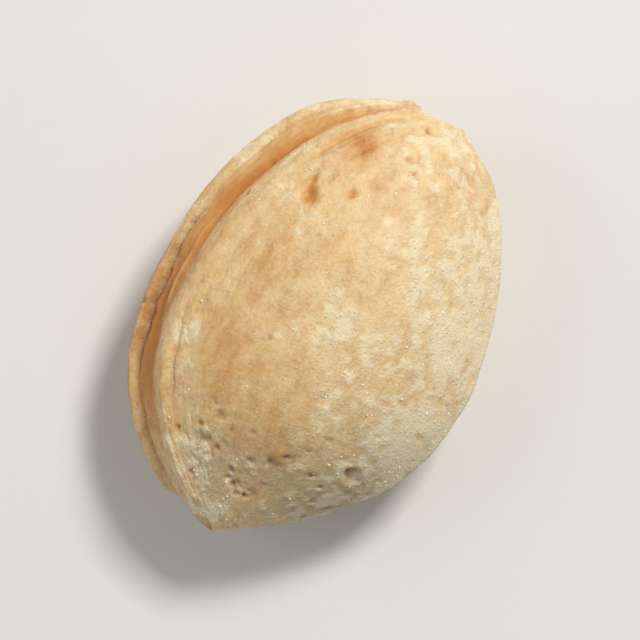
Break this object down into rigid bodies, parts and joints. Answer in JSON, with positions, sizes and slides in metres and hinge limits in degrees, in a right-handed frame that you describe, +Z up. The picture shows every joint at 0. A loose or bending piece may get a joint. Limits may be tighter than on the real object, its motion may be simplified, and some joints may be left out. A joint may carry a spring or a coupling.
{
  "type": "salted apricot kernel",
  "caption": "Whole salted apricot stone in its shell: a lens-shaped, pale tan nut with a ridged keel, deep furrows and a blunt beak.",
  "frame": {"origin": "on the surface that the stone rests on, below the middle of its box", "axes": "+X from the beak to the stalk end, +Y towards the furrowed keel, +Z up out of the cheek that it lies on"},
  "size_m": [0.026, 0.0188, 0.0114],
  "materials": {
    "salted_shell": "dry woody shell with a pale powdery bloom of salt"
  },
  "bodies": {
    "root": {"apricot_kernel": "salted_shell"}
  },
  "joints": []
}
